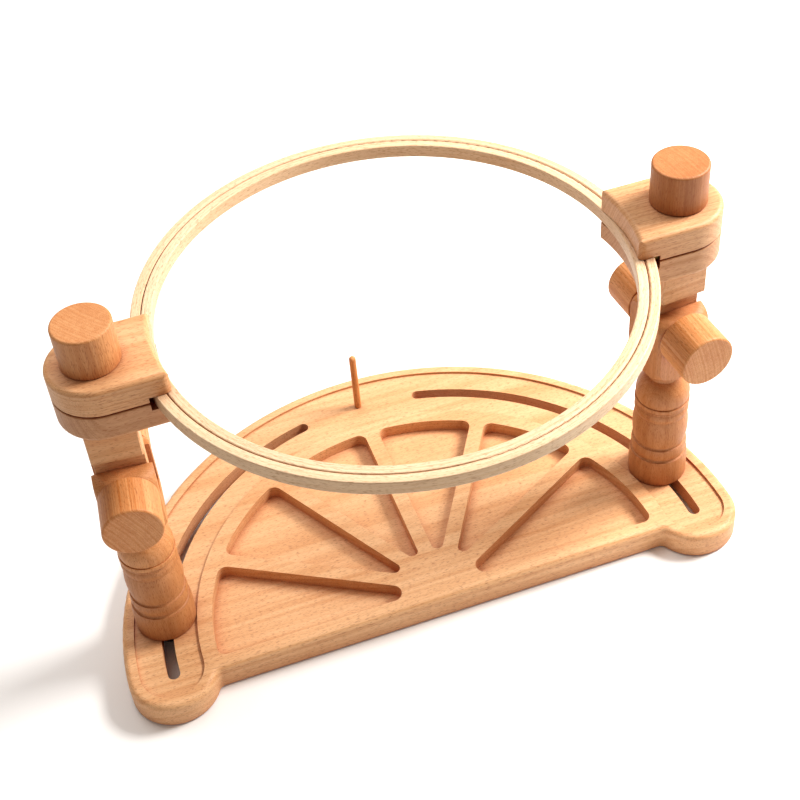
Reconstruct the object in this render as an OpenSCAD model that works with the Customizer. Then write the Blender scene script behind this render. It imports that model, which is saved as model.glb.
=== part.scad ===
// Half-moon embroidery stand: two posts slide in curved slots of a tray board
// and carry clamps that hold a round embroidery hoop above it.
// X runs along the straight front edge, Y towards the back, Z up.
// The origin is the common centre of the slot arcs, on the underside.

/* [Board] */
// Thickness of the board
board_h = 19; // [17:0.5:22]
// Radius of the half-moon edge
board_r = 209; // [205:0.5:214]
// Distance from the slot centre forward to the straight front edge
front_gap = 10.5; // [8:0.5:13]
// Radius of the soft edge round the top of the board
board_edge_r = 4; // [2:0.5:6]
// Inner radius of the recessed rim band
band_in_r = 160; // [158:0.5:160]
// Outer radius of the recessed rim band
band_out_r = 201; // [200:0.5:202]
// Depth of the recessed rim band
band_depth = 1.75; // [1:0.25:3]

/* [Slots] */
// Radius of the slots' centre line
slot_r = 180; // [179:0.5:181]
// Width of the slots
slot_w = 8; // [7:0.5:9]
// Angle of the front end of each slot
slot_front_angle = -0.7; // [-1:0.1:1]
// Angle of the back end of each slot
slot_back_angle = 75.8; // [60:0.1:78]

/* [Trays] */
// Outer radius of the sector trays
tray_r = 150; // [140:1:152]
// Depth of the trays
tray_depth = 9.5; // [6:0.5:12]
// Width of the ribs between the trays
rib_w = 10; // [8:0.5:12]
// Rim left between the front trays and the front edge
tray_front_rim = 9.5; // [8:0.5:11]

/* [Posts and forks] */
// Angle of each post along its slot, measured from the X axis
post_angle = 14; // [0:1:60]
// Outward splay of the forks
splay = 5; // [0:1:15]
// Height of the joint between post and fork
fork_z = 84; // [80:1:95]
// Height of the tilt axis
tilt_z = 154; // [150:1:156]
// Height of the top of the fork
fork_top_z = 167.5; // [166:0.5:170]
// Width of the fork across its flat sides
fork_w = 35.6; // [34:0.1:36]
// Depth of the fork across its front and back faces
fork_d = 38; // [37:0.5:40]
// Thickness of the arm's tongue
tongue_t = 15; // [12:0.5:17]
// Side of the arm's square block
arm_w = 30; // [28:0.5:32]

/* [Clamps] */
// Underside of the lower jaw
jaw_z = 210; // [208:1:212]
// Thickness of the lower jaw
lower_jaw_h = 18; // [16:0.5:19]
// Gap between the closed jaws
jaw_gap = 1; // [0.5:0.1:1.5]
// Thickness of the upper jaw
upper_jaw_h = 17.5; // [16:0.5:19]
// Width of the jaws
jaw_w = 55; // [50:1:58]
// Distance from the clamp axis to the hoop end of the jaws
jaw_reach = 37.5; // [36:0.5:38]
// Radius of the wooden knobs
knob_r = 17.8; // [16:0.1:18]
// Length of the wooden knobs
knob_len = 26.6; // [24:0.1:28]

/* [Hoop] */
// Outer radius of the outer ring
hoop_r = 151.5; // [151:0.1:152]
// Radial thickness of the outer ring
outer_ring_t = 6; // [5.5:0.1:6.2]
// Radial thickness of the inner ring
inner_ring_t = 6.1; // [5.5:0.1:6.5]
// Height of the rings
hoop_h = 9; // [8:0.1:9.4]
// Distance of the hoop's centre behind the slot centre
hoop_y = 52; // [51:0.5:53]

/* [Hidden] */
SIDE_NODES = [
    "slot_bolt", "slot_washer", "post", "post_insert", "fork", "swivel_pin", "arm",
    "tilt_bolt", "rear_knob", "tilt_washer", "tilt_knob", "tilt_insert", "clamp_stud",
    "lower_jaw", "upper_jaw", "top_washer", "top_knob", "top_insert"
];

$fn = 96;
overlap = 0.01;                 // lets a round corner cross its straight sides cleanly
far = 400;                      // longer than anything that is cut away
run_fit = 0.08;                 // radial clearance of a turning fit
beech = [0.86, 0.62, 0.40];
turned_beech = [0.80, 0.56, 0.38];
hoop_wood = [0.94, 0.84, 0.68];
steel = [0.70, 0.70, 0.72];
brass = [0.80, 0.65, 0.32];

band_floor_z = board_h - band_depth;
post_x = slot_r * cos(post_angle);
post_y = slot_r * sin(post_angle);
band_end_r = (band_out_r - band_in_r) / 2;
lobe_x = (band_out_r + band_in_r) / 2;
lobe_r = board_r - lobe_x;      // the lobes are concentric with the ends of the band
board_bottom_r = 1.5;
front_fillet_r = 5.5;
fillet_y = -front_gap - front_fillet_r;
fillet_x = lobe_x - sqrt(pow(lobe_r + front_fillet_r, 2) - fillet_y * fillet_y);
inner_corner_w = 40;            // reaches past the triangle that it is cut to

tray_count = 6;
tray_step = 180 / tray_count;
tray_corner_r = 6;
tray_tip_r = 4;
front_tray_tip_r = 6.5;

pin_r = 2.5;
pin_h = 50;
pin_tenon_r = 2;                // thinner foot that is glued into the board
pin_tenon_h = 1;                // how much of the foot stays above the band
pin_depth = 8;

groove_w = 18;                  // T-groove under each slot
groove_h = 6;
slot_bolt_r = 3;
slot_head_r = 8.2;
slot_washer_r = 8.5;
slot_washer_h = 1.4;
slot_head_h = 3.2;
slot_bolt_top = 62;
post_insert_r = 5.5;
post_insert_h = 20;

foot_r = 19.6;
post_joint_gap = 0.35;
swivel_r = 5;
swivel_bottom_z = 66;
swivel_top_z = 104;
dome_r = 17.7;
dome_z = 92.5;
neck_r = 10.7;
belly_z = 118;                  // underside of the fork's head
belly_r = 24.6;
belly_edge_r = 9;
fork_top_r = 8;
slot_floor_z = 137.5;

bolt_r = 4;
washer_r = 9;
washer_t = 1.2;
washer_sink = 0.9;
insert_r = 7;
insert_len = 15;
knob_edge_r = 1.5;
top_knob_r = 17;
knob_gap = 0.05;
knob_back = fork_d / 2 + washer_t - washer_sink + knob_gap;

jaw_r = jaw_w / 2;
jaw_round_x = -1;               // centre of the jaws' round end, beside the clamp axis
jaw_edge_r = 3;
split_edge_r = 0.8;
scoop_sag = 3.4;                // how far the hoop end curves in
scoop_r = (jaw_r * jaw_r + scoop_sag * scoop_sag) / (2 * scoop_sag);
arm_top_gap = 0.2;
block_z = 182;
lower_jaw_top = jaw_z + lower_jaw_h;
upper_jaw_z = lower_jaw_top + jaw_gap;
upper_jaw_top = upper_jaw_z + upper_jaw_h;
top_knob_z = upper_jaw_top + washer_t - washer_sink;

hoop_z = lower_jaw_top + jaw_gap / 2 - hoop_h / 2 - 0.5;
ring_gap = 0.4;
ring_edge_r = 0.9;
inner_ring_r = hoop_r - outer_ring_t - ring_gap;
inner_ring_drop = 0.1;          // the inner ring is this much lower at top and bottom
channel_r = hoop_r + 3.5;
channel_slack = 0.3;            // free space round the hoop where it isn't seated
closure_angle = -6.8;
closure_mid_r = hoop_r + 2.8;
closure_gap = 1.2;
lug_t = 5.2;
lug_len = 6.5;
lug_start = 2.2;
screw_r = 1.5;
screw_head_r = 2.9;
closure_pocket_r = hoop_r + 7.6;
closure_pocket_half = 15;

// ---------- shared shapes ----------

// Cross-section from the axis out to w, h high, with both outer corners rounded.
module edge_profile(w, h, r_top, r_bottom) {
    square([w - max(r_top, r_bottom), h]);
    translate([0, r_bottom]) square([w, h - r_top - r_bottom]);
    square([w - r_bottom, h / 2]);
    translate([0, h / 2]) square([w - r_top, h / 2]);
    translate([w - r_top, h - r_top]) circle(r_top);
    translate([w - r_bottom, r_bottom]) circle(r_bottom);
}

// Round disc with soft edges.
module soft_disc(r, h, r_top, r_bottom) {
    rotate_extrude() edge_profile(r, h, r_top, r_bottom);
}

// Cutter for a round hollow of radius r, h high, that also softens the upper edge by r_top
// and the lower edge by r_bottom.
module flared_cutter(r, h, r_top, r_bottom) {
    rotate_extrude() difference() {
        union() {
            translate([0, -1]) square([r, h + 2]);
            if (r_top > 0) translate([0, h - r_top]) square([r + r_top, r_top + 1]);
            if (r_bottom > 0) translate([0, -1]) square([r + r_bottom, r_bottom + 1]);
        }
        if (r_top > 0) translate([r + r_top, h - r_top]) circle(r_top);
        if (r_bottom > 0) translate([r + r_bottom, r_bottom]) circle(r_bottom);
    }
}

module tube(r_out, r_in, h) {
    difference() {
        cylinder(r = r_out, h = h);
        translate([0, 0, -1]) cylinder(r = r_in, h = h + 2);
    }
}

// Everything on one side stands on its own clamp axis; side is -1 on the left, 1 on the right.
module on_side(side) {
    translate([side * post_x, post_y, 0])
        mirror([side < 0 ? 1 : 0, 0, 0]) children();
}

// As on_side, turned outwards with the fork.
module on_fork(side) {
    on_side(side) rotate([0, 0, splay]) children();
}

// Lays a piece that was drawn upwards along the tilt axis, pointing forwards.
module on_tilt_axis() {
    translate([0, 0, tilt_z]) rotate([90, 0, 0]) children();
}

// ---------- board ----------

// Half-moon outline piece by piece: the arc, the bar along the front, the two lobes and
// the inner corners between them. The pieces meet on flat faces.
module board_blank() {
    rotate_extrude(angle = 180, $fn = 180)
        edge_profile(board_r, board_h, board_edge_r, board_bottom_r);
    rotate([90, 0, 90]) translate([0, 0, -fillet_x]) linear_extrude(2 * fillet_x)
        mirror([1, 0]) edge_profile(front_gap, board_h, board_edge_r, board_bottom_r);
    for (side = [0, 1]) mirror([side, 0, 0]) {
        lobe();
        inner_corner();
    }
}

// Rounded front corner of the board, from the inner corner round to the half-moon.
module lobe() {
    intersection() {
        translate([lobe_x, 0, 0]) soft_disc(lobe_r, board_h, board_edge_r, board_bottom_r);
        linear_extrude(board_h) polygon([
            [lobe_x, 0], [fillet_x, fillet_y], [fillet_x, -far], [far, -far], [far, 0]
        ]);
    }
}

// Triangle between bar, half-moon and lobe, hollowed by the small round inner corner.
module inner_corner() {
    intersection() {
        linear_extrude(board_h)
            polygon([[fillet_x, 0], [fillet_x, fillet_y], [lobe_x, 0]]);
        translate([fillet_x, fillet_y, 0]) rotate_extrude()
            translate([front_fillet_r + inner_corner_w, 0]) mirror([1, 0])
                edge_profile(inner_corner_w, board_h, board_edge_r, board_bottom_r);
    }
}

// Outline of a ring-shaped track between two radii and two angles, with round ends.
module arc_track(mid_r, w, from_angle, to_angle) {
    intersection() {
        difference() {
            circle(mid_r + w / 2, $fn = 180);
            circle(mid_r - w / 2, $fn = 180);
        }
        polygon([
            [0, 0],
            for (i = [0:3]) let (a = from_angle + (to_angle - from_angle) * i / 3)
                [far * cos(a), far * sin(a)]
        ]);
    }
    for (a = [from_angle, to_angle])
        rotate(a) translate([mid_r, 0]) circle(w / 2);
}

// Sector tray above the X axis: low_gap is the distance of its lower side from the X axis.
module tray_outline(low_gap, tip_r) {
    high_gap = rib_w / 2;
    corner_d = tray_r - tray_corner_r;
    low_corner_y = low_gap + tray_corner_r;
    low_corner = [sqrt(corner_d * corner_d - low_corner_y * low_corner_y), low_corner_y];
    high_angle = tray_step - asin((high_gap + tray_corner_r) / corner_d);
    high_corner = corner_d * [cos(high_angle), sin(high_angle)];
    tip_y = low_gap + tip_r;
    tip = [(high_gap + tip_r + tip_y * cos(tray_step)) / sin(tray_step), tip_y];
    up = [-sin(tray_step), cos(tray_step)];
    polygon([
        tip, tip - [0, tip_r], low_corner - [0, tray_corner_r], low_corner,
        high_corner, high_corner + tray_corner_r * up, tip + tip_r * up
    ]);
    intersection() {
        circle(tray_r, $fn = 180);
        polygon([tip, low_corner, 1.2 * low_corner, 1.2 * high_corner, high_corner]);
    }
    translate(tip) circle(tip_r + overlap);
    translate(low_corner) circle(tray_corner_r + overlap);
    translate(high_corner) circle(tray_corner_r + overlap);
}

module all_tray_outlines() {
    front_gap_to_tray = tray_front_rim - front_gap;
    for (i = [1:tray_count - 2]) rotate(tray_step * i) tray_outline(rib_w / 2, tray_tip_r);
    tray_outline(front_gap_to_tray, front_tray_tip_r);
    mirror([1, 0]) tray_outline(front_gap_to_tray, front_tray_tip_r);
}

module band_outline() {
    intersection() {
        difference() {
            circle(band_out_r, $fn = 180);
            circle(band_in_r, $fn = 180);
        }
        translate([-far, 0]) square([2 * far, far]);
    }
    for (side = [-1, 1]) translate([side * lobe_x, 0]) circle(band_end_r);
}

module base_board() {
    color(beech) difference() {
        board_blank();
        translate([0, 0, band_floor_z]) linear_extrude(band_depth + 1) band_outline();
        translate([0, 0, board_h - tray_depth]) linear_extrude(tray_depth + 1)
            all_tray_outlines();
        for (side = [0, 1]) mirror([side, 0, 0]) {
            translate([0, 0, -1]) linear_extrude(board_h + 2)
                arc_track(slot_r, slot_w, slot_front_angle, slot_back_angle);
            translate([0, 0, -1]) linear_extrude(groove_h + 1)
                arc_track(slot_r, groove_w, slot_front_angle, slot_back_angle);
        }
        translate([0, slot_r, band_floor_z - pin_depth])
            cylinder(r = pin_tenon_r, h = pin_depth + 1);
    }
}

module thread_pin() {
    color(turned_beech) translate([0, slot_r, band_floor_z - pin_depth]) {
        cylinder(r = pin_tenon_r, h = pin_depth + pin_tenon_h + 1);
        translate([0, 0, pin_depth + pin_tenon_h])
            cylinder(r = pin_r, h = pin_h - pin_tenon_h - pin_r);
        translate([0, 0, pin_depth + pin_h - pin_r]) sphere(pin_r);
    }
}

// ---------- carriage in the slot ----------

module slot_bolt() {
    head_z = groove_h - slot_washer_h - slot_head_h;
    color(steel) translate([0, 0, head_z]) {
        cylinder(r = slot_head_r, h = slot_head_h);
        cylinder(r = slot_bolt_r, h = slot_bolt_top - head_z);
    }
}

module slot_washer() {
    color(steel) translate([0, 0, groove_h - slot_washer_h])
        tube(slot_washer_r, slot_bolt_r + 0.2, slot_washer_h);
}

// ---------- post ----------

// A turned bead: the part of a big circle that bulges out to r between two heights.
module bead(r, z0, z1, bulge) {
    half = (z1 - z0) / 2;
    big_r = (half * half + bulge * bulge) / (2 * bulge);
    intersection() {
        translate([0, z0]) square([r + 1, z1 - z0]);
        translate([r - big_r, (z0 + z1) / 2]) circle(big_r, $fn = 180);
    }
    translate([0, z0]) square([r - bulge, z1 - z0]);
}

module post_profile() {
    foot_top = 40.5;
    band_top = 51;
    barrel_top = fork_z - 8.5;
    ring_top = fork_z - 1.5;
    translate([0, band_floor_z]) edge_profile(foot_r, 12, 0.5, 1.4);
    bead(foot_r, band_floor_z + 5, foot_top, 0.9);
    bead(18.5, foot_top, band_top, 0.9);
    bead(18.4, band_top, barrel_top, 1.3);
    bead(17.9, barrel_top, ring_top, 0.8);
    translate([0, ring_top]) edge_profile(17.3, fork_z - ring_top, 0.5, 0.1);
}

module post() {
    color(turned_beech) difference() {
        rotate_extrude() difference() {
            post_profile();
            for (groove = [[18.9, 40.5], [18.1, 51]]) translate(groove) circle(1.3, $fn = 32);
        }
        translate([0, 0, band_floor_z - 1]) cylinder(r = post_insert_r, h = post_insert_h + 1);
        cylinder(r = slot_bolt_r + 0.3, h = swivel_bottom_z + 1);
        translate([0, 0, swivel_bottom_z])
            cylinder(r = swivel_r + run_fit, h = fork_z);
    }
}

module post_insert() {
    color(brass) translate([0, 0, band_floor_z])
        tube(post_insert_r, slot_bolt_r + 0.05, post_insert_h);
}

// ---------- fork ----------

module fork_profile() {
    rim_h = 3.6;
    translate([0, fork_z + post_joint_gap]) edge_profile(dome_r + 0.3, rim_h, 0.6, 0.8);
    intersection() {
        translate([0, dome_z]) circle(dome_r);
        translate([0, fork_z + post_joint_gap]) square([far, belly_z]);
    }
    translate([0, dome_z]) square([neck_r, belly_z - dome_z + 2]);
    translate([0, belly_z])
        edge_profile(belly_r, fork_top_z - belly_z, fork_top_r, belly_edge_r);
}

module fork() {
    slot_t = tongue_t + 0.3;
    color(turned_beech) difference() {
        intersection() {
            rotate_extrude() intersection() {
                fork_profile();
                square([far, far]);
            }
            union() {
                translate([-far / 2, -far / 2, 0]) cube([far, far, belly_z - 1]);
                translate([-fork_w / 2, -fork_d / 2, 0]) cube([fork_w, fork_d, far]);
            }
        }
        translate([-far / 2, -slot_t / 2, slot_floor_z]) cube([far, slot_t, far]);
        translate([0, 0, fork_z - 1]) cylinder(r = swivel_r, h = swivel_top_z - fork_z + 1);
        on_tilt_axis() {
            cylinder(r = bolt_r + run_fit, h = far, center = true);
            translate([0, 0, fork_d / 2 - washer_sink]) cylinder(r = washer_r + 0.2, h = far);
        }
    }
}

module swivel_pin() {
    color(steel) translate([0, 0, swivel_bottom_z + 0.5])
        cylinder(r = swivel_r, h = swivel_top_z - swivel_bottom_z - 0.5);
}

// ---------- arm ----------

module arm() {
    chamfer = 0.8;
    block_h = jaw_z - arm_top_gap - block_z;
    stud_depth = 22;
    color(beech) difference() {
        union() {
            translate([0, 0, block_z]) linear_extrude(block_h) bevelled_square(arm_w, arm_w, chamfer);
            intersection() {
                translate([0, 0, tilt_z - arm_w / 2])
                    linear_extrude(block_z - tilt_z + arm_w / 2)
                        bevelled_square(arm_w, tongue_t, chamfer / 2);
                union() {
                    on_tilt_axis() cylinder(r = arm_w / 2, h = arm_w, center = true);
                    translate([-arm_w / 2, -arm_w / 2, tilt_z]) cube([arm_w, arm_w, arm_w]);
                }
            }
        }
        on_tilt_axis() cylinder(r = bolt_r + run_fit, h = far, center = true);
        translate([0, 0, jaw_z - stud_depth]) cylinder(r = bolt_r, h = stud_depth + 1);
    }
}

module bevelled_square(w, d, bevel) {
    polygon([for (p = [[-1, -1, 0, 1], [-1, -1, 1, 0], [1, -1, 1, 0], [1, -1, 0, 1],
                       [1, 1, 0, 1], [1, 1, 1, 0], [-1, 1, 1, 0], [-1, 1, 0, 1]])
        [p[0] * (w / 2 - bevel * p[2]), p[1] * (d / 2 - bevel * p[3])]]);
}

// ---------- knobs and their hardware ----------

// Turned knob standing on its inner face, bored for an insert and a threaded rod.
module knob(r, bore_r, bore_len, rod_len) {
    color(turned_beech) difference() {
        soft_disc(r, knob_len, knob_edge_r, 0.6);
        translate([0, 0, -1]) cylinder(r = bore_r, h = bore_len + 1);
        translate([0, 0, -1]) cylinder(r = bolt_r + 0.3, h = rod_len + 1);
    }
}

module rear_knob() {
    glued_len = 22;
    mirror([0, 1, 0]) on_tilt_axis() translate([0, 0, fork_d / 2])
        color(turned_beech) difference() {
            soft_disc(knob_r, knob_len, knob_edge_r, 0.6);
            translate([0, 0, -1]) cylinder(r = bolt_r, h = glued_len + 1);
        }
}

module tilt_bolt() {
    bolt_end = fork_d / 2 + 22;
    color(steel) on_tilt_axis() cylinder(r = bolt_r, h = 2 * bolt_end, center = true);
}

module tilt_washer() {
    color(steel) on_tilt_axis() translate([0, 0, fork_d / 2 - washer_sink])
        tube(washer_r, bolt_r + run_fit, washer_t);
}

module tilt_knob() {
    on_tilt_axis() translate([0, 0, knob_back]) knob(knob_r, insert_r, insert_len, 23.4);
}

module tilt_insert() {
    color(brass) on_tilt_axis() translate([0, 0, knob_back])
        tube(insert_r, bolt_r + 0.05, insert_len);
}

module clamp_stud() {
    stud_bottom = jaw_z - 22;
    stud_top = top_knob_z + 21.5;
    color(steel) translate([0, 0, stud_bottom]) cylinder(r = bolt_r, h = stud_top - stud_bottom);
}

module top_washer() {
    color(steel) translate([0, 0, upper_jaw_top - washer_sink])
        tube(washer_r, bolt_r + run_fit, washer_t);
}

module top_knob() {
    translate([0, 0, top_knob_z]) knob(top_knob_r, insert_r, insert_len, 23.4);
}

module top_insert() {
    color(brass) translate([0, 0, top_knob_z]) tube(insert_r, bolt_r + 0.05, insert_len);
}

// ---------- clamp jaws ----------

// Jaw blank on the clamp axis: a round outer end, and a bar that reaches towards the hoop
// along -X and ends in a shallow curve.
module jaw_blank(h, r_top, r_bottom) {
    difference() {
        union() {
            translate([jaw_round_x, 0, 0]) soft_disc(jaw_r, h, r_top, r_bottom);
            intersection() {
                rotate([90, 0, 90]) translate([0, 0, -jaw_reach])
                    linear_extrude(jaw_reach + jaw_round_x)
                        for (m = [0, 1]) mirror([m, 0]) edge_profile(jaw_r, h, r_top, r_bottom);
                rotate([90, 0, 0]) linear_extrude(jaw_w + 2, center = true)
                    translate([jaw_round_x, 0]) mirror([1, 0])
                        edge_profile(jaw_reach + jaw_round_x, h, r_top, r_bottom);
                jaw_plan(h);
            }
        }
        translate([-jaw_reach + scoop_sag - scoop_r, 0, 0])
            flared_cutter(scoop_r, h, r_top, r_bottom, $fn = 180);
        translate([0, 0, -1]) cylinder(r = bolt_r + run_fit, h = h + 2);
    }
}

// Plan of the bar with its two corners at the hoop end rounded.
module jaw_plan(h) {
    corner_r = 4.5;
    translate([-jaw_reach + corner_r, -jaw_r, -1])
        cube([jaw_reach, jaw_w, h + 2]);
    translate([-jaw_reach, -jaw_r + corner_r, -1])
        cube([jaw_reach, jaw_w - 2 * corner_r, h + 2]);
    for (s = [-1, 1]) translate([-jaw_reach + corner_r, s * (jaw_r - corner_r), -1])
        cylinder(r = corner_r, h = h + 2);
}

// Space that the hoop takes in a clamp, in the stand's own frame.
module hoop_channel(slack_below) {
    bottom = hoop_z - slack_below;
    top = hoop_z + hoop_h + channel_slack;
    translate([0, hoop_y, bottom]) cylinder(r = channel_r, h = top - bottom, $fn = 180);
}

// Pocket in the right clamp that clears the ring's tightening screw.
module closure_pocket() {
    bottom = hoop_z - channel_slack;
    at_closure() translate([0, -closure_pocket_half, bottom])
        cube([closure_pocket_r, 2 * closure_pocket_half, hoop_h + 2 * channel_slack]);
}

module lower_jaw(side) {
    slack_below = side < 0 ? 0 : channel_slack;
    color(beech) difference() {
        on_side(side) translate([0, 0, jaw_z]) jaw_blank(lower_jaw_h, split_edge_r, jaw_edge_r);
        hoop_channel(slack_below);
        if (side > 0) closure_pocket();
    }
}

module upper_jaw(side) {
    color(beech) difference() {
        on_side(side) translate([0, 0, upper_jaw_z])
            jaw_blank(upper_jaw_h, jaw_edge_r, split_edge_r);
        hoop_channel(channel_slack);
        if (side > 0) closure_pocket();
        on_side(side) translate([0, 0, upper_jaw_top - washer_sink])
            cylinder(r = washer_r + 0.2, h = washer_sink + 1);
    }
}

// ---------- hoop ----------

// Flat ring with soft edges.
module soft_ring(r_out, t, h) {
    rotate_extrude($fn = 360) {
        e = ring_edge_r;
        translate([r_out - t + e, 0]) square([t - 2 * e, h]);
        translate([r_out - t, e]) square([t, h - 2 * e]);
        for (x = [r_out - t + e, r_out - e])
            for (z = [e, h - e])
                translate([x, z]) circle(e, $fn = 32);
    }
}

module hoop_inner_ring() {
    color(hoop_wood) translate([0, hoop_y, hoop_z + inner_ring_drop])
        soft_ring(inner_ring_r, inner_ring_t, hoop_h - 2 * inner_ring_drop);
}

// Frame whose X axis points from the hoop's centre to the closure.
module at_closure() {
    translate([0, hoop_y, 0]) rotate([0, 0, closure_angle]) children();
}

module hoop_outer_ring() {
    color(hoop_wood) difference() {
        translate([0, hoop_y, hoop_z]) soft_ring(hoop_r, outer_ring_t, hoop_h);
        at_closure() translate([hoop_r / 2, -closure_gap / 2, hoop_z - 1])
            cube([hoop_r, closure_gap, hoop_h + 2]);
    }
}

// Lays a piece that was drawn upwards along the closure screw, pointing forwards.
module on_closure_screw() {
    at_closure() translate([closure_mid_r, 0, hoop_z + hoop_h / 2])
        rotate([90, 0, 0]) children();
}

module closure_lugs() {
    lug_h = 7.2;
    color(brass) difference() {
        at_closure() for (s = [0, 1]) mirror([0, s, 0])
            translate([hoop_r - 2, lug_start, hoop_z + (hoop_h - lug_h) / 2])
                cube([lug_t + 2, lug_len, lug_h]);
        translate([0, hoop_y, hoop_z - 1]) cylinder(r = hoop_r, h = hoop_h + 2, $fn = 360);
        on_closure_screw() cylinder(r = screw_r + 0.1, h = 60, center = true);
    }
}

module closure_screw() {
    lug_end = lug_start + lug_len;
    color(brass) on_closure_screw() {
        translate([0, 0, -lug_end - 4.5]) cylinder(r = screw_r, h = 2 * lug_end + 5.5);
        translate([0, 0, lug_end]) soft_disc(screw_head_r, 4, 0.8, 0.1, $fn = 48);
    }
}

module closure_nut() {
    lug_end = lug_start + lug_len;
    color(brass) on_closure_screw() translate([0, 0, -lug_end - 2.6]) difference() {
        cylinder(r = 3, h = 2.6, $fn = 6);
        translate([0, 0, -1]) cylinder(r = screw_r + 0.05, h = 5, $fn = 48);
    }
}

// ---------- the pieces of one side, by name ----------

module side_piece(name, side) {
    if (name == "slot_bolt") on_side(side) slot_bolt();
    if (name == "slot_washer") on_side(side) slot_washer();
    if (name == "post") on_side(side) post();
    if (name == "post_insert") on_side(side) post_insert();
    if (name == "fork") on_fork(side) fork();
    if (name == "swivel_pin") on_fork(side) swivel_pin();
    if (name == "arm") on_fork(side) arm();
    if (name == "tilt_bolt") on_fork(side) tilt_bolt();
    if (name == "rear_knob") on_fork(side) rear_knob();
    if (name == "tilt_washer") on_fork(side) tilt_washer();
    if (name == "tilt_knob") on_fork(side) tilt_knob();
    if (name == "tilt_insert") on_fork(side) tilt_insert();
    if (name == "clamp_stud") on_side(side) clamp_stud();
    if (name == "lower_jaw") lower_jaw(side);
    if (name == "upper_jaw") upper_jaw(side);
    if (name == "top_washer") on_side(side) top_washer();
    if (name == "top_knob") on_side(side) top_knob();
    if (name == "top_insert") on_side(side) top_insert();
}

base_board();
thread_pin();
hoop_inner_ring();
hoop_outer_ring();
closure_lugs();
closure_screw();
closure_nut();
for (n = SIDE_NODES) side_piece(n, -1);
for (n = SIDE_NODES) side_piece(n, 1);
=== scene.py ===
"""Looks of the half-moon embroidery stand: beech, bent hoop wood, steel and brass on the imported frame."""
import math
import random

import bpy
from mathutils import Matrix, Vector


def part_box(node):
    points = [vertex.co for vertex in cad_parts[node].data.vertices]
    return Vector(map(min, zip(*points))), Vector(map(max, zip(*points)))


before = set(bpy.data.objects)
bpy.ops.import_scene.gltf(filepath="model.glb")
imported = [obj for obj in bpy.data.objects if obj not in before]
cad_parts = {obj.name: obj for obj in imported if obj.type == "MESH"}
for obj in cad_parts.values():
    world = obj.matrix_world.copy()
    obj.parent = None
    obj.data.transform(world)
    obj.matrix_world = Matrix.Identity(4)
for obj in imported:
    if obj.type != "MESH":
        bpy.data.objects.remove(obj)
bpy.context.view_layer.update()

MM = 1000.0                      # millimetres in a metre: textures are scaled in millimetres
HOOP_RADIUS = 145.0              # middle of the two hoop rings
SIDES = ("left", "right")


# ---------- small helpers for node materials ----------

def srgb(red, green, blue):
    """An 8-bit screen colour as a linear RGBA colour."""
    def linear(channel):
        c = channel / 255
        return c / 12.92 if c <= 0.04045 else ((c + 0.055) / 1.055) ** 2.4
    return (linear(red), linear(green), linear(blue), 1.0)


def mixed(a, b, share):
    """Colour a with the given share of colour b in it."""
    return tuple(x + (y - x) * share for x, y in zip(a, b))


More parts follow.
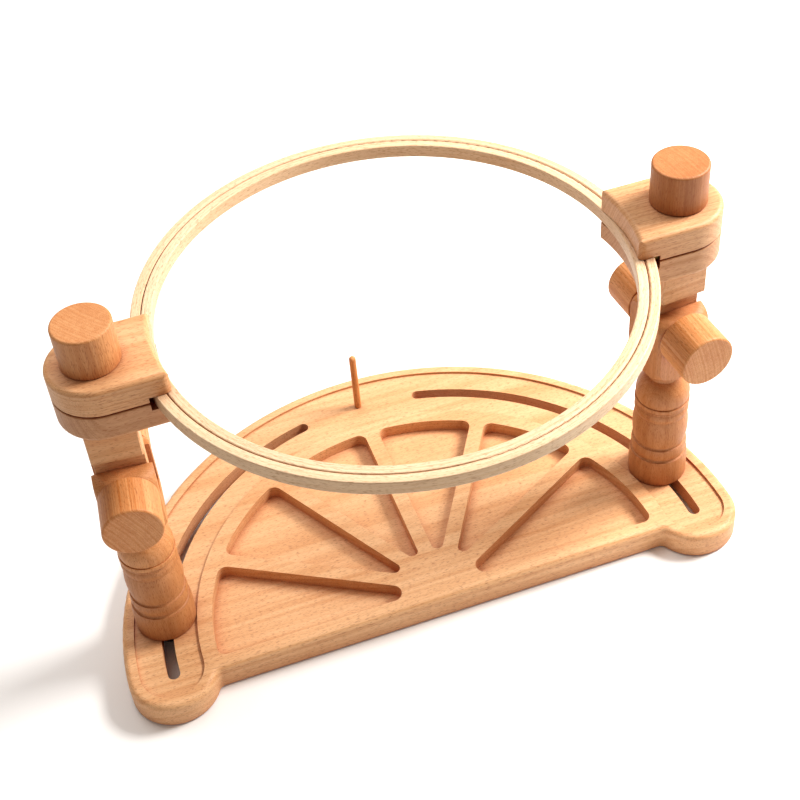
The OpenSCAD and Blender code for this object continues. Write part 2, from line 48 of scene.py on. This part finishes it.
class Graph:
    """Builds one material's node tree, one call per node."""

    def __init__(self, name):
        self.material = bpy.data.materials.new(name)
        self.material.use_nodes = True
        self.tree = self.material.node_tree
        self.shader = self.tree.nodes["Principled BSDF"]

    def put(self, socket, value):
        """Links value to the socket if it's another node's output, or else sets it."""
        if isinstance(value, bpy.types.NodeSocket):
            self.tree.links.new(value, socket)
        else:
            socket.default_value = value

    def node(self, kind, settings=None, **inputs):
        made = self.tree.nodes.new(kind)
        for key, value in (settings or {}).items():
            setattr(made, key, value)
        for key, value in inputs.items():
            self.put(made.inputs[key.replace("_", " ")], value)
        return made

    def place(self, middle=(0, 0, 0), turn=0.0):
        """Position in the stand's frame in millimetres, from a middle point and turned about Z."""
        scaled = self.node("ShaderNodeVectorMath", {"operation": "SCALE"}, Scale=MM)
        self.put(scaled.inputs[0], self.node("ShaderNodeTexCoord").outputs["Object"])
        moved = self.vector("SUBTRACT", scaled.outputs["Vector"], tuple(middle))
        return self.node("ShaderNodeVectorRotate", {"rotation_type": "Z_AXIS"},
                         Vector=moved, Angle=-turn).outputs["Vector"]

    def math(self, operation, a, b=0.0, clamp=False):
        made = self.node("ShaderNodeMath", {"operation": operation, "use_clamp": clamp})
        self.put(made.inputs[0], a)
        self.put(made.inputs[1], b)
        return made.outputs[0]

    def vector(self, operation, a, b):
        made = self.node("ShaderNodeVectorMath", {"operation": operation})
        self.put(made.inputs[0], a)
        self.put(made.inputs[1], b)
        return made.outputs["Vector"]

    def split(self, vector):
        made = self.node("ShaderNodeSeparateXYZ", Vector=vector)
        return made.outputs["X"], made.outputs["Y"], made.outputs["Z"]

    def join(self, x, y, z):
        return self.node("ShaderNodeCombineXYZ", X=x, Y=y, Z=z).outputs["Vector"]

    def distance(self, a, b):
        """Length of the flat vector (a, b)."""
        squares = self.math("ADD", self.math("MULTIPLY", a, a), self.math("MULTIPLY", b, b))
        return self.math("SQRT", squares)

    def noise(self, vector, scale=1.0, detail=3.0, roughness=0.55):
        return self.node("ShaderNodeTexNoise", Vector=vector, Scale=scale, Detail=detail,
                         Roughness=roughness).outputs["Fac"]

    def long_noise(self, place, along, across, detail=3.0, roughness=0.55):
        """Noise drawn out along X: how often it changes in a millimetre, along and across."""
        stretched = self.vector("MULTIPLY", place, (along, across, across))
        return self.noise(stretched, 1.0, detail, roughness)

    def noise_line(self, position, scale, detail=2.0):
        """Noise along one number, such as a distance from the pith."""
        return self.node("ShaderNodeTexNoise", {"noise_dimensions": "1D"},
                         W=position, Scale=scale, Detail=detail).outputs["Fac"]

    def band(self, value, low, high):
        """0 below low, 1 above high, smooth between them."""
        return self.node("ShaderNodeMapRange", {"interpolation_type": "SMOOTHSTEP"},
                         Value=value, From_Min=low, From_Max=high).outputs["Result"]

    def blend(self, factor, a, b, mode="MIX"):
        """Colour a turning into b; the node's sockets 0, 6, 7 and 2 are the ones for colours."""
        made = self.node("ShaderNodeMix", {"data_type": "RGBA", "blend_type": mode})
        self.put(made.inputs[0], factor)
        self.put(made.inputs[6], a)
        self.put(made.inputs[7], b)
        return made.outputs[2]

    def painted_shade_mask(self, reach, power):
        """Mask of painted shade: 0 on open surfaces, towards 1 in corners and hollows within reach, in
        metres.
        """
        made = self.node("ShaderNodeAmbientOcclusion", {"samples": 6}, Distance=reach)
        closed = self.math("SUBTRACT", 1.0, made.outputs["AO"])
        return self.math("POWER", closed, power)

    def bump(self, height, depth, strength=1.0):
        return self.node("ShaderNodeBump", Height=height, Distance=depth,
                         Strength=strength).outputs["Normal"]

    def finish(self, color, roughness, normal, metallic=0.0, specular=0.35):
        self.put(self.shader.inputs["Base Color"], color)
        self.put(self.shader.inputs["Roughness"], roughness)
        self.put(self.shader.inputs["Normal"], normal)
        self.shader.inputs["Metallic"].default_value = metallic
        self.shader.inputs["Specular IOR Level"].default_value = specular
        return self.material


# ---------- woods ----------

PAINTED_SHADE_REACH = 0.012             # how far from a corner the painted shade reaches, in metres
GRAIN_RELIEF = 0.00012           # depth of the grain's bump, in metres

# tones of one wood: light, its darker growth rings, its flecks, and the painted shade in its hollows
BOARD_TONES = (srgb(233, 186, 138), srgb(208, 148, 96), srgb(150, 80, 36), srgb(186, 76, 10))
TURNED_TONES = (srgb(226, 166, 109), srgb(196, 118, 56), srgb(146, 72, 24), srgb(178, 72, 8))
HOOP_TONES = (srgb(233, 208, 174), srgb(207, 168, 126), srgb(156, 104, 64), srgb(190, 108, 48))


def wood_surface(graph, along, across, up, tones, ring_at, ring_size, ring_depth):
    """Wood whose grain runs along one coordinate, with its rings centred on ring_at, in millimetres."""
    light, dark, fleck_tone, painted_shade_tone = tones
    place = graph.join(along, across, up)

    # growth rings, pushed a little out of round
    drift = graph.long_noise(place, 0.004, 0.02)
    from_pith = graph.distance(graph.math("SUBTRACT", across, ring_at[0]),
                               graph.math("SUBTRACT", up, ring_at[1]))
    from_pith = graph.math("ADD", from_pith, graph.math("MULTIPLY", drift, 3.0 * ring_size))
    rings = graph.band(graph.noise_line(from_pith, 0.75 / ring_size), 0.36, 0.66)

    # fine fibres, broader strands, wide light and dark patches, and the short flecks of beech
    fibres = graph.long_noise(place, 0.05, 2.2, 4.0, 0.65)
    strands = graph.long_noise(place, 0.012, 0.35)
    patches = graph.long_noise(place, 0.008, 0.02, 2.0)
    flecks = graph.band(graph.long_noise(place, 0.30, 2.2, 1.0), 0.57, 0.65)

    tone = graph.math("MULTIPLY", rings, ring_depth)
    shares = ((fibres, 0.35, 0.70, 0.24), (strands, 0.35, 0.68, 0.26), (patches, 0.3, 0.7, 0.30))
    for layer, low, high, share in shares:
        tone = graph.math("ADD", tone, graph.math("MULTIPLY", graph.band(layer, low, high), share))
    color = graph.blend(graph.math("MULTIPLY", tone, 0.95, True), light, dark)
    color = graph.blend(graph.math("MULTIPLY", flecks, 0.5), color, fleck_tone)
    # painted shade: wood in corners and hollows is multiplied towards its painted shade tone
    painted_shade_share = graph.painted_shade_mask(PAINTED_SHADE_REACH, 1.5)
    color = graph.blend(graph.math("MULTIPLY", painted_shade_share, 0.9, True), color, painted_shade_tone, "MULTIPLY")

    roughness = graph.math("ADD", 0.40, graph.math("MULTIPLY", fibres, 0.22))
    height = graph.math("ADD", fibres, graph.math("MULTIPLY", rings, 0.35))
    height = graph.math("SUBTRACT", height, graph.math("MULTIPLY", flecks, 0.5))
    return graph.finish(color, roughness, graph.bump(height, GRAIN_RELIEF, 0.5))


def middle_of(node):
    """Centre of a CAD node's box, in millimetres."""
    low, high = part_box(node)
    return (Vector(low) + Vector(high)) / 2 * MM


def solid_wood(node, grain, tones, seed, turn=0.0, ring_size=1.0, ring_depth=0.5,
               pith_range=(110, 190), dull=0.0):
    """Wood with its grain along one axis and its pith beside the part; dull darkens it."""
    draw = random.Random(seed)
    light, dark, fleck_tone, painted_shade_tone = tones
    darkest = mixed(fleck_tone, (0, 0, 0, 1), 0.5)
    tones = (mixed(light, fleck_tone, dull), mixed(dark, darkest, dull), fleck_tone, painted_shade_tone)
    graph = Graph("wood_" + node)
    x, y, z = graph.split(graph.place(middle_of(node), turn))
    across, up, along = {"X": (y, z, x), "Y": (x, z, y), "Z": (x, y, z)}[grain]
    angle = draw.uniform(0, 2 * math.pi)
    distance = draw.uniform(*pith_range)
    pith = (distance * math.cos(angle), distance * math.sin(angle))
    along = graph.math("ADD", along, draw.uniform(-900, 900))
    return wood_surface(graph, along, across, up, tones, pith, ring_size, ring_depth)


def hoop_wood(node, seed):
    """Bent laminated wood: the grain runs round the hoop, and thin layers show on top."""
    graph = Graph("wood_" + node)
    x, y, z = graph.split(graph.place(middle_of("hoop_outer_ring")))
    round_way = graph.math("MULTIPLY", graph.math("ARCTAN2", y, x), HOOP_RADIUS)
    round_way = graph.math("ADD", round_way, seed * 37.0)
    return wood_surface(graph, round_way, graph.distance(x, y), z, HOOP_TONES,
                        ring_at=(20.0, 0.0), ring_size=0.9, ring_depth=0.42)


# ---------- metals ----------

def metal(name, light, dark, roughness):
    """Turned or plated metal with fine scratches and dull spots."""
    graph = Graph(name)
    place = graph.place()
    spots = graph.noise(place, 0.5, 4.0, 0.6)
    scratches = graph.noise(graph.vector("MULTIPLY", place, (6.0, 6.0, 0.4)))
    color = graph.blend(graph.band(spots, 0.35, 0.7), light, dark)
    rough = graph.math("ADD", roughness, graph.math("MULTIPLY", scratches, 0.2))
    return graph.finish(color, rough, graph.bump(scratches, 0.00002, 0.4),
                        metallic=1.0, specular=0.5)


# ---------- dressing the CAD nodes ----------

def dress(node, material):
    """Puts one material on every slot of a CAD node."""
    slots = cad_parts[node].data.materials
    for index in range(len(slots)):
        slots[index] = material
    if len(slots) == 0:
        slots.append(material)


STEEL = metal("zinc_steel", srgb(196, 198, 200), srgb(150, 152, 156), 0.28)
# dark steel for the slot bolts and their washers
DARK_STEEL = metal("dark_grey_steel", srgb(74, 62, 56), srgb(44, 36, 32), 0.45)
BRASS = metal("brass", srgb(222, 184, 104), srgb(176, 134, 66), 0.25)
SPLAY = math.radians(5)          # the forks and their knobs are turned outwards by this much

SIDE_WOODS = {                   # part: (grain axis, tones, strength of the rings, turned with the fork)
    "post": ("Z", TURNED_TONES, 0.22, False),
    "fork": ("Z", TURNED_TONES, 0.22, True),
    "arm": ("X", BOARD_TONES, 0.5, True),
    "tilt_knob": ("Y", TURNED_TONES, 0.45, True),
    "rear_knob": ("Y", TURNED_TONES, 0.45, True),
    "lower_jaw": ("X", BOARD_TONES, 0.5, False),
    "upper_jaw": ("X", BOARD_TONES, 0.5, False),
    "top_knob": ("Z", TURNED_TONES, 0.3, False),
}
DULLED = {                       # parts made darker than the rest, each by its own share
    "left_post": 0.42, "right_post": 0.42, "left_lower_jaw": 0.45, "right_lower_jaw": 0.35,
    "right_top_knob": 0.55, "left_top_knob": 0.25, "right_upper_jaw": 0.2,
    "left_fork": 0.2, "right_fork": 0.35,
}
DULLED_LITTLE = 0.08             # every other part of a side
SIDE_DARK_STEEL = ("slot_bolt", "slot_washer")
SIDE_STEEL = ("swivel_pin", "tilt_bolt", "tilt_washer", "clamp_stud", "top_washer")
SIDE_BRASS = ("post_insert", "tilt_insert", "top_insert")

dress("base_board", solid_wood("base_board", "X", BOARD_TONES, 8, ring_size=2.2, ring_depth=0.42,
                               pith_range=(200, 260)))
dress("thread_pin", solid_wood("thread_pin", "Z", TURNED_TONES, 5))
for seed, ring in enumerate(("hoop_inner_ring", "hoop_outer_ring"), 1):
    dress(ring, hoop_wood(ring, seed))
for node in ("closure_lugs", "closure_screw", "closure_nut"):
    dress(node, BRASS)
for number, side in enumerate(SIDES):
    turn = SPLAY if side == "right" else -SPLAY
    for seed, (part, (grain, tones, rings, splayed)) in enumerate(SIDE_WOODS.items(), 20 * number + 7):
        node = side + "_" + part
        dress(node, solid_wood(node, grain, tones, seed, turn if splayed else 0.0,
                               ring_depth=rings, dull=DULLED.get(node, DULLED_LITTLE)))
    for part in SIDE_DARK_STEEL:
        dress(side + "_" + part, DARK_STEEL)
    for part in SIDE_STEEL:
        dress(side + "_" + part, STEEL)
    for part in SIDE_BRASS:
        dress(side + "_" + part, BRASS)


# ---------- floor, light and camera ----------

def floor():
    """A large pale sheet just under the stand, so that the two faces don't lie in one plane."""
    half = 4.0
    level = -0.0002
    mesh = bpy.data.meshes.new("floor")
    corners = [(-half, -half, level), (half, -half, level), (half, half, level), (-half, half, level)]
    mesh.from_pydata(corners, [], [(0, 1, 2, 3)])
    sheet = bpy.data.objects.new("floor", mesh)
    bpy.context.scene.collection.objects.link(sheet)
    graph = Graph("floor_paper")
    mottle = graph.noise(graph.place(), 0.003, 2.0)
    color = graph.blend(mottle, (0.93, 0.93, 0.93, 1), (0.96, 0.96, 0.955, 1))
    graph.finish(color, 0.9, graph.bump(mottle, 0.0001, 0.1), specular=0.1)
    mesh.materials.append(graph.material)


def area_light(name, place, target, size, power, tint):
    """A round soft light aimed at target; power in watts, the rest in metres."""
    lamp = bpy.data.lights.new(name, "AREA")
    lamp.shape = "DISK"
    lamp.size = size
    lamp.energy = power
    lamp.color = tint
    holder = bpy.data.objects.new(name, lamp)
    bpy.context.scene.collection.objects.link(holder)
    holder.location = place
    aim = Vector(target) - Vector(place)
    holder.rotation_euler = aim.to_track_quat("-Z", "Y").to_euler()


def studio():
    """A dim warm surround, a key light from the right and a broad one above the back."""
    world = bpy.data.worlds.new("studio")
    bpy.context.scene.world = world
    world.use_nodes = True
    background = world.node_tree.nodes["Background"]
    background.inputs["Color"].default_value = (1.0, 0.86, 0.74, 1)
    background.inputs["Strength"].default_value = 0.30
    centre = (0.0, 0.08, 0.08)
    area_light("key", (0.86, 0.11, 0.84), centre, size=0.5, power=25.0, tint=(1.0, 0.98, 0.95))
    area_light("top", (-0.15, 0.65, 1.7), centre, size=1.2, power=18.0, tint=(1.0, 0.99, 0.98))


def camera():
    """The viewpoint: bearing from straight ahead, height angle and a small roll, in degrees."""
    bearing, rise, roll = math.radians(-15.1), math.radians(44.49), math.radians(-5.43)
    place = Vector((-0.16913, -0.56661, 0.77112))
    back = Vector((math.sin(bearing) * math.cos(rise), -math.cos(bearing) * math.cos(rise),
                   math.sin(rise)))
    right = (-back).cross(Vector((0, 0, 1))).normalized()
    up = right.cross(-back)
    right, up = (right * math.cos(roll) + up * math.sin(roll),
                 up * math.cos(roll) - right * math.sin(roll))
    lens = bpy.data.cameras.new("camera")
    lens.sensor_width = 36.0
    lens.lens = 65.57
    holder = bpy.data.objects.new("camera", lens)
    bpy.context.scene.collection.objects.link(holder)
    turn = Matrix((right, up, back)).transposed()
    holder.matrix_world = Matrix.Translation(place) @ turn.to_4x4()
    bpy.context.scene.camera = holder


floor()
studio()
camera()
bpy.context.scene.view_settings.view_transform = "Standard"
